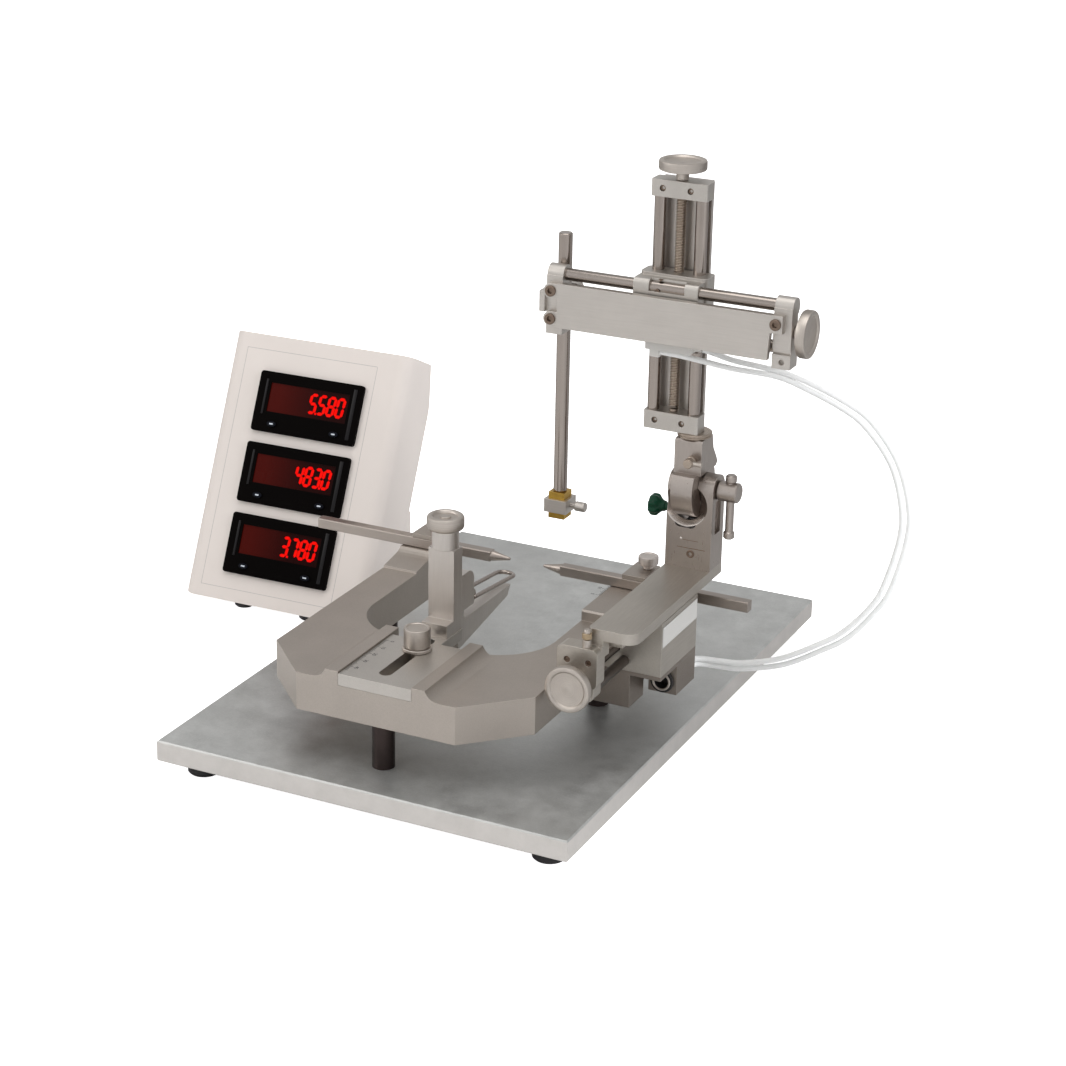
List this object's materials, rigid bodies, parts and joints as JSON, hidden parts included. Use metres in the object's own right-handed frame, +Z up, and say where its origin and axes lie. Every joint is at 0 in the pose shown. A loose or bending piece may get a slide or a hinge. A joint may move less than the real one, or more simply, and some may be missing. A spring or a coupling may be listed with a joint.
{
  "type": "stereotaxic micromanipulator",
  "caption": "Bench micromanipulator: slides in three directions on a tilting swivel carry a probe over a U-shaped ear-bar frame, with a sloping digital readout console.",
  "frame": {"origin": "centre of the base plate's top face", "axes": "+Z up, +Y to the back, +X to the operator's right, towards the manipulator arm"},
  "size_m": [0.4977, 0.368, 0.3393],
  "materials": {
    "base_steel": "satin mottled",
    "frame_metal": "satin nickel",
    "bright_metal": "bright satin nickel",
    "dark_metal": "satin",
    "black_metal": "semi-gloss black",
    "black_rubber": "matte",
    "black_plastic": "gloss",
    "white_sheath": "satin",
    "pale_block": "matte",
    "green_knob": "gloss",
    "brass": "worn",
    "case_white": "fine texture",
    "red_window": "clear dark red",
    "button_blue": "matte"
  },
  "bodies": {
    "frame": {"base_plate": "base_steel", "rubber_feet": "black_rubber", "support_posts": "black_metal", "u_frame": "frame_metal", "ear_straps": "bright_metal", "ap_carriage": "frame_metal", "carriage_bracket": "dark_metal", "sensor_box": "dark_metal", "sensor_socket": "black_plastic", "console_case": "case_white", "display_bezels": "black_plastic", "display_windows": "red_window", "cable_1": "white_sheath", "cable_2": "white_sheath"},
    "nose_carrier": {"nose_plate": "bright_metal", "nose_tower": "bright_metal"},
    "nose_lock": {"nose_lock_screw": "bright_metal"},
    "tower_drive": {"tower_knob": "bright_metal"},
    "nose_lift_slider": {"nose_slider": "bright_metal"},
    "nose_loop": {"nose_wire": "bright_metal"},
    "left_ear_bar": {"ear_bar_left": "bright_metal"},
    "right_ear_bar": {"ear_bar_right": "bright_metal"},
    "left_ear_screw": {"ear_screw_left": "bright_metal"},
    "right_ear_screw": {"ear_screw_right": "bright_metal"},
    "ap_slide": {"ap_cover_plate": "frame_metal", "ap_front_block": "frame_metal", "ap_rear_block": "frame_metal", "ap_guide_rods": "bright_metal", "swivel_clevis": "frame_metal"},
    "ap_drive": {"ap_lead_screw": "bright_metal", "ap_knob": "bright_metal"},
    "swivel_handle": {"swivel_lever": "bright_metal"},
    "swivel_lock": {"lock_knob": "green_knob"},
    "tilt_head": {"swivel_tongue": "bright_metal"},
    "column": {"collar": "frame_metal", "low_end_block": "bright_metal", "top_end_block": "bright_metal", "vertical_rods": "bright_metal", "back_plate": "frame_metal"},
    "vertical_drive": {"vertical_screw": "bright_metal", "vertical_knob": "bright_metal"},
    "cross_head": {"cross_carriage": "bright_metal", "cable_gland": "pale_block"},
    "ml_slide": {"ml_cover_plate": "bright_metal", "ml_left_block": "bright_metal", "ml_right_block": "bright_metal", "ml_guide_rods": "bright_metal", "probe_jaw": "bright_metal"},
    "ml_drive": {"ml_lead_screw": "bright_metal", "ml_knob": "bright_metal"},
    "probe_screw": {"jaw_screw": "bright_metal"},
    "probe": {"probe_rod": "bright_metal", "probe_holder": "brass", "holder_clamp": "bright_metal"},
    "push_button_1": {"button_1": "button_blue"},
    "push_button_2": {"button_2": "button_blue"},
    "push_button_3": {"button_3": "button_blue"},
    "push_button_4": {"button_4": "button_blue"},
    "push_button_5": {"button_5": "button_blue"},
    "push_button_6": {"button_6": "button_blue"}
  },
  "joints": [
    {"name": "nose_advance", "type": "slide", "parent": "frame", "child": "nose_carrier", "axis": [0, 1, 0], "range_m": [-0.01, 0.012]},
    {"name": "nose_lock_turn", "type": "hinge", "parent": "frame", "child": "nose_lock", "pos_m": [0, -0.113, 0.0545], "axis": [0, 0, 1], "range_deg": [-360, 360]},
    {"name": "nose_lift", "type": "slide", "parent": "nose_carrier", "child": "nose_lift_slider", "axis": [0, 0, 1], "range_m": [-0.006, 0.016]},
    {"name": "tower_knob_turn", "type": "hinge", "parent": "nose_carrier", "child": "tower_drive", "pos_m": [0, -0.08, 0.115], "axis": [0, 0, 1], "range_deg": [-1950, 750]},
    {"name": "nose_loop_swing", "type": "hinge", "parent": "nose_lift_slider", "child": "nose_loop", "pos_m": [0, -0.054, 0.0655], "axis": [1, 0, 0], "range_deg": [-12, 40]},
    {"name": "left_ear_bar_slide", "type": "slide", "parent": "frame", "child": "left_ear_bar", "axis": [1, 0, 0], "range_m": [-0.05, 0.01]},
    {"name": "right_ear_bar_slide", "type": "slide", "parent": "frame", "child": "right_ear_bar", "axis": [1, 0, 0], "range_m": [-0.01, 0.05]},
    {"name": "left_ear_screw_turn", "type": "hinge", "parent": "frame", "child": "left_ear_screw", "pos_m": [-0.064, 0.033, 0.066], "axis": [0, 0, 1], "range_deg": [-360, 360]},
    {"name": "right_ear_screw_turn", "type": "hinge", "parent": "frame", "child": "right_ear_screw", "pos_m": [0.0755, 0.033, 0.066], "axis": [0, 0, 1], "range_deg": [-360, 360]},
    {"name": "ap_travel", "type": "slide", "parent": "frame", "child": "ap_slide", "axis": [0, 1, 0], "range_m": [-0.016, 0.033]},
    {"name": "ap_knob_turn", "type": "hinge", "parent": "ap_slide", "child": "ap_drive", "pos_m": [0.0951, -0.106, 0.05335], "axis": [0, 1, 0], "range_deg": [-1950, 4000]},
    {"name": "handle_turn", "type": "hinge", "parent": "ap_slide", "child": "swivel_handle", "pos_m": [0.125, 0.015, 0.12915], "axis": [1, 0, 0], "range_deg": [-90, 90]},
    {"name": "lock_knob_turn", "type": "hinge", "parent": "ap_slide", "child": "swivel_lock", "pos_m": [0.091, 0.015, 0.11365], "axis": [1, 0, 0], "range_deg": [-180, 180]},
    {"name": "tilt", "type": "hinge", "parent": "ap_slide", "child": "tilt_head", "pos_m": [0.1086, 0.015, 0.12915], "axis": [-1, 0, 0], "range_deg": [-20, 90]},
    {"name": "column_turn", "type": "hinge", "parent": "tilt_head", "child": "column", "pos_m": [0.1086, 0.015, 0.15915], "axis": [0, 0, 1], "range_deg": [-30, 30]},
    {"name": "vertical_travel", "type": "slide", "parent": "column", "child": "cross_head", "axis": [0, 0, 1], "range_m": [-0.045, 0.041], "deforming": ["cable_1", "cable_2"]},
    {"name": "vertical_knob_turn", "type": "hinge", "parent": "column", "child": "vertical_drive", "pos_m": [0.0964, 0.0117, 0.305], "axis": [0, 0, 1], "range_deg": [-5000, 5450]},
    {"name": "ml_travel", "type": "slide", "parent": "cross_head", "child": "ml_slide", "axis": [1, 0, 0], "range_m": [-0.042, 0.035]},
    {"name": "ml_knob_turn", "type": "hinge", "parent": "ml_slide", "child": "ml_drive", "pos_m": [0.171, -0.0018, 0.23315], "axis": [1, 0, 0], "range_deg": [-5100, 4260]},
    {"name": "probe_screw_turn", "type": "hinge", "parent": "ml_slide", "child": "probe_screw", "pos_m": [0.0289, 0.015, 0.23215], "axis": [0, 1, 0], "range_deg": [-360, 360]},
    {"name": "probe_lift", "type": "slide", "parent": "ml_slide", "child": "probe", "axis": [0, 0, 1], "range_m": [-0.015, 0.08]},
    {"name": "button_1_press", "type": "slide", "parent": "frame", "child": "push_button_1", "axis": [-0.0221, 0.906, -0.4226], "range_m": [0, 0.0008], "stiffness_N_per_m": 900, "springref_m": -0.0006},
    {"name": "button_2_press", "type": "slide", "parent": "frame", "child": "push_button_2", "axis": [-0.0221, 0.906, -0.4226], "range_m": [0, 0.0008], "stiffness_N_per_m": 900, "springref_m": -0.0006},
    {"name": "button_3_press", "type": "slide", "parent": "frame", "child": "push_button_3", "axis": [-0.0221, 0.906, -0.4226], "range_m": [0, 0.0008], "stiffness_N_per_m": 900, "springref_m": -0.0006},
    {"name": "button_4_press", "type": "slide", "parent": "frame", "child": "push_button_4", "axis": [-0.0221, 0.906, -0.4226], "range_m": [0, 0.0008], "stiffness_N_per_m": 900, "springref_m": -0.0006},
    {"name": "button_5_press", "type": "slide", "parent": "frame", "child": "push_button_5", "axis": [-0.0221, 0.906, -0.4226], "range_m": [0, 0.0008], "stiffness_N_per_m": 900, "springref_m": -0.0006},
    {"name": "button_6_press", "type": "slide", "parent": "frame", "child": "push_button_6", "axis": [-0.0221, 0.906, -0.4226], "range_m": [0, 0.0008], "stiffness_N_per_m": 900, "springref_m": -0.0006}
  ],
  "couplings": [
    {"joint": "tower_knob_turn", "follows": "nose_lift", "rad_per_m": -2094.4},
    {"joint": "ap_knob_turn", "follows": "ap_travel", "rad_per_m": 2094.4},
    {"joint": "vertical_knob_turn", "follows": "vertical_travel", "rad_per_m": -2094.4},
    {"joint": "ml_knob_turn", "follows": "ml_travel", "rad_per_m": 2094.4}
  ]
}
